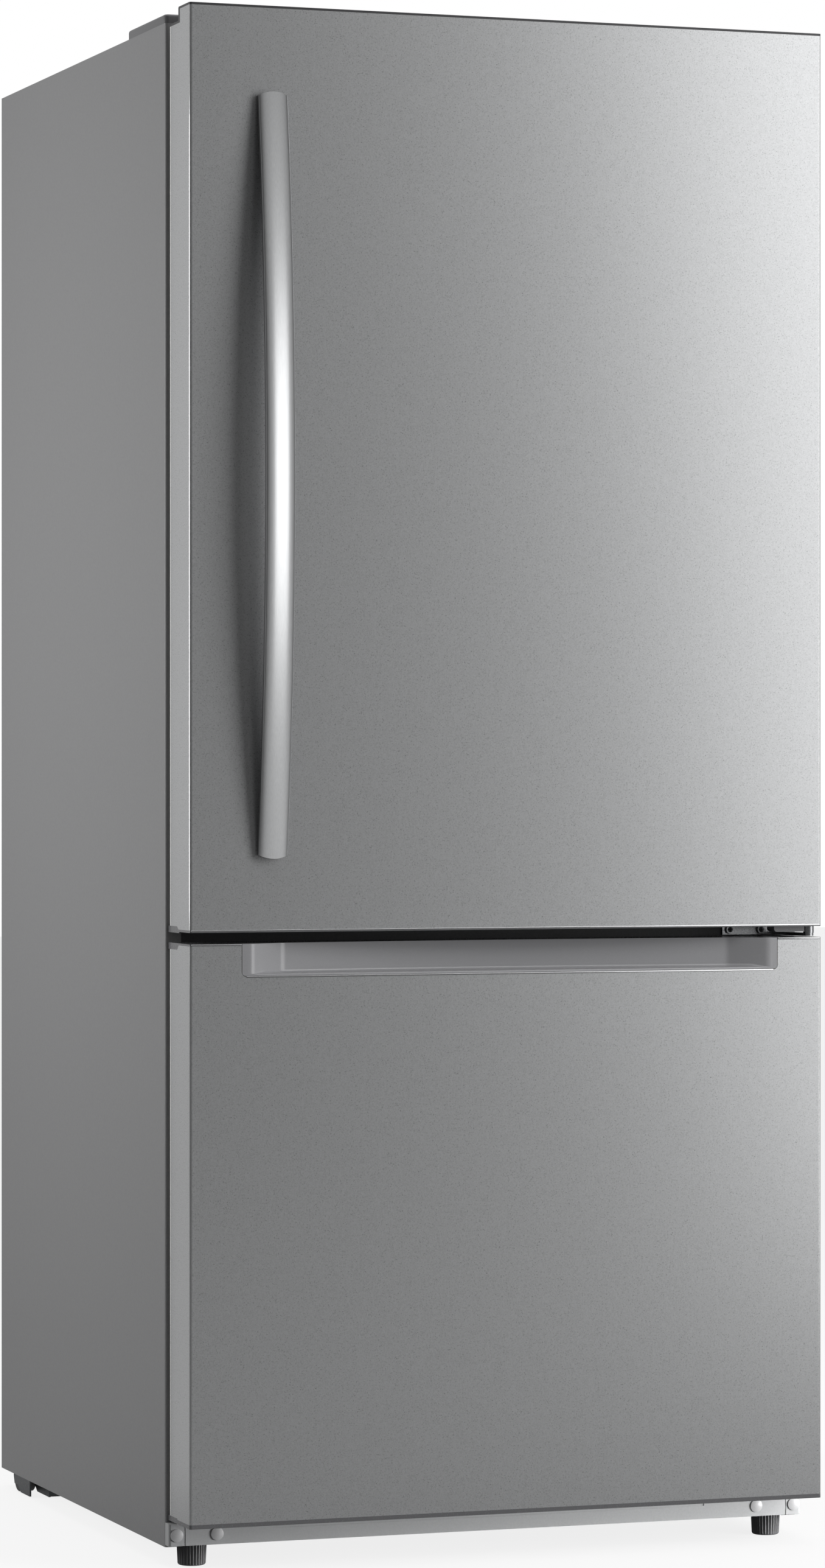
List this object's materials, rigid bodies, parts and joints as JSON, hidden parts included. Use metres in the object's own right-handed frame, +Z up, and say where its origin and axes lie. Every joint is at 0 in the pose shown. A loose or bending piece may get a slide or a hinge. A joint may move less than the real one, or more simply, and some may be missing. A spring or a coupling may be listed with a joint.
{
  "type": "bottom freezer refrigerator",
  "caption": "Free-standing refrigerator with a hinged stainless upper door and a pull-out freezer drawer below, in a grey steel cabinet.",
  "frame": {"origin": "on the floor, at the centre of the overall box", "axes": "+Z up, -Y towards the person in front of the doors, +X to that person's right, the hinge side"},
  "size_m": [0.75, 0.8049, 1.698],
  "materials": {
    "cabinet_paint": "satin grey enamel with a fine texture",
    "galvanised": "matt galvanised sheet",
    "dark_paint": "satin dark grey",
    "stainless": "brushed, satin",
    "handle_steel": "brushed, satin",
    "zinc": "bright zinc",
    "grey_plastic": "fine matt",
    "dark_plastic": "fine matt",
    "light_plastic": "semi gloss",
    "white_plastic": "gloss",
    "black_plastic": "matt",
    "clear_plastic": "clear gloss",
    "glass": "clear",
    "gasket_rubber": "matt",
    "black_rubber": "matt",
    "aluminium": "mill",
    "copper": "dull copper",
    "iron": "black enamel",
    "foam": "closed-cell foam"
  },
  "bodies": {
    "cabinet": {"side_panels": "cabinet_paint", "top_panel": "cabinet_paint", "back_panel": "galvanised", "base_frame": "galvanised", "cabinet_foam": "foam", "fridge_liner": "white_plastic", "freezer_liner": "white_plastic", "front_mullion": "dark_paint", "hinge_covers": "grey_plastic", "top_hinge": "zinc", "middle_hinge": "zinc", "hinge_screws": "zinc", "kick_plate": "cabinet_paint", "kick_corners": "cabinet_paint", "kick_screw_caps": "grey_plastic", "rear_roller_brackets": "galvanised", "shelf_frames": "white_plastic", "shelf_glass": "glass", "crisper_divider": "white_plastic", "control_panel": "white_plastic", "air_duct": "white_plastic", "slide_rails": "zinc", "evaporator_cover": "white_plastic", "evaporator_coil": "aluminium", "compressor": "iron", "compressor_grommets": "black_rubber", "condenser_coil": "copper", "condenser_fan_shroud": "black_plastic", "drain_pan": "black_plastic", "machine_cover": "galvanised", "lead_grommet": "black_rubber"},
    "fridge_door": {"fridge_door_skin": "stainless", "fridge_door_top_cap": "dark_plastic", "fridge_door_bottom_cap": "grey_plastic", "fridge_door_foam": "foam", "fridge_door_liner": "white_plastic", "fridge_door_gasket": "gasket_rubber", "door_bins": "clear_plastic", "handle_bar": "handle_steel"},
    "freezer_drawer": {"drawer_skin": "stainless", "drawer_grip": "light_plastic", "drawer_caps": "light_plastic", "drawer_foam": "foam", "drawer_liner": "white_plastic", "drawer_gasket": "gasket_rubber", "drawer_rails": "zinc", "lower_basket": "white_plastic"},
    "slide_middle": {"middle_rails": "zinc"},
    "freezer_basket": {"upper_basket": "white_plastic"},
    "left_crisper": {"crisper_left": "clear_plastic"},
    "right_crisper": {"crisper_right": "clear_plastic"},
    "left_foot": {"front_foot_left": "dark_plastic"},
    "right_foot": {"front_foot_right": "dark_plastic"},
    "left_roller": {"rear_roller_left": "black_plastic"},
    "right_roller": {"rear_roller_right": "black_plastic"},
    "evaporator_fan": {"evaporator_fan_blade": "black_plastic"},
    "condenser_fan": {"condenser_fan_blade": "black_plastic"},
    "fridge_button": {"button_fridge": "light_plastic"},
    "freezer_button": {"button_freezer": "light_plastic"},
    "damper": {"damper_flap": "black_plastic"}
  },
  "joints": [
    {"name": "door_hinge", "type": "hinge", "parent": "cabinet", "child": "fridge_door", "pos_m": [0.3615, -0.3515, 1.19], "axis": [0, 0, 1], "range_deg": [0, 110]},
    {"name": "drawer_slide", "type": "slide", "parent": "cabinet", "child": "freezer_drawer", "axis": [0, -1, 0], "range_m": [0, 0.4]},
    {"name": "middle_slide", "type": "slide", "parent": "cabinet", "child": "slide_middle", "axis": [0, -1, 0], "range_m": [0, 0.2]},
    {"name": "upper_basket_slide", "type": "slide", "parent": "cabinet", "child": "freezer_basket", "axis": [0, -1, 0], "range_m": [0, 0.3]},
    {"name": "left_crisper_slide", "type": "slide", "parent": "cabinet", "child": "left_crisper", "axis": [0, -1, 0], "range_m": [0, 0.2001]},
    {"name": "right_crisper_slide", "type": "slide", "parent": "cabinet", "child": "right_crisper", "axis": [0, -1, 0], "range_m": [0, 0.2001]},
    {"name": "left_foot_turn", "type": "hinge", "parent": "cabinet", "child": "left_foot", "pos_m": [-0.3417, -0.2747, 0.02], "axis": [0, 0, 1], "continuous": true},
    {"name": "right_foot_turn", "type": "hinge", "parent": "cabinet", "child": "right_foot", "pos_m": [0.3417, -0.2747, 0.02], "axis": [0, 0, 1], "continuous": true},
    {"name": "left_roller_turn", "type": "hinge", "parent": "cabinet", "child": "left_roller", "pos_m": [-0.361, 0.3445, 0.018], "axis": [1, 0, 0], "continuous": true},
    {"name": "right_roller_turn", "type": "hinge", "parent": "cabinet", "child": "right_roller", "pos_m": [0.361, 0.3445, 0.018], "axis": [1, 0, 0], "continuous": true},
    {"name": "evaporator_fan_turn", "type": "hinge", "parent": "cabinet", "child": "evaporator_fan", "pos_m": [0, 0.2805, 0.566], "axis": [0, 1, 0], "continuous": true},
    {"name": "condenser_fan_turn", "type": "hinge", "parent": "cabinet", "child": "condenser_fan", "pos_m": [0.1, 0.2755, 0.132], "axis": [1, 0, 0], "continuous": true},
    {"name": "fridge_button_press", "type": "slide", "parent": "cabinet", "child": "fridge_button", "axis": [0, 0, 1], "range_m": [0, 0.0012], "stiffness_N_per_m": 300, "springref_m": -0.001},
    {"name": "freezer_button_press", "type": "slide", "parent": "cabinet", "child": "freezer_button", "axis": [0, 0, 1], "range_m": [0, 0.0012], "stiffness_N_per_m": 300, "springref_m": -0.001},
    {"name": "damper_turn", "type": "hinge", "parent": "cabinet", "child": "damper", "pos_m": [0, 0.324, 0.69], "axis": [1, 0, 0], "range_deg": [0, 80]}
  ],
  "couplings": [
    {"joint": "middle_slide", "follows": "drawer_slide", "ratio": 0.5},
    {"joint": "upper_basket_slide", "follows": "drawer_slide", "ratio": 0.75},
    {"joint": "left_crisper_slide", "follows": "door_hinge", "m_per_rad": 0.10417},
    {"joint": "right_crisper_slide", "follows": "door_hinge", "m_per_rad": 0.10417}
  ]
}
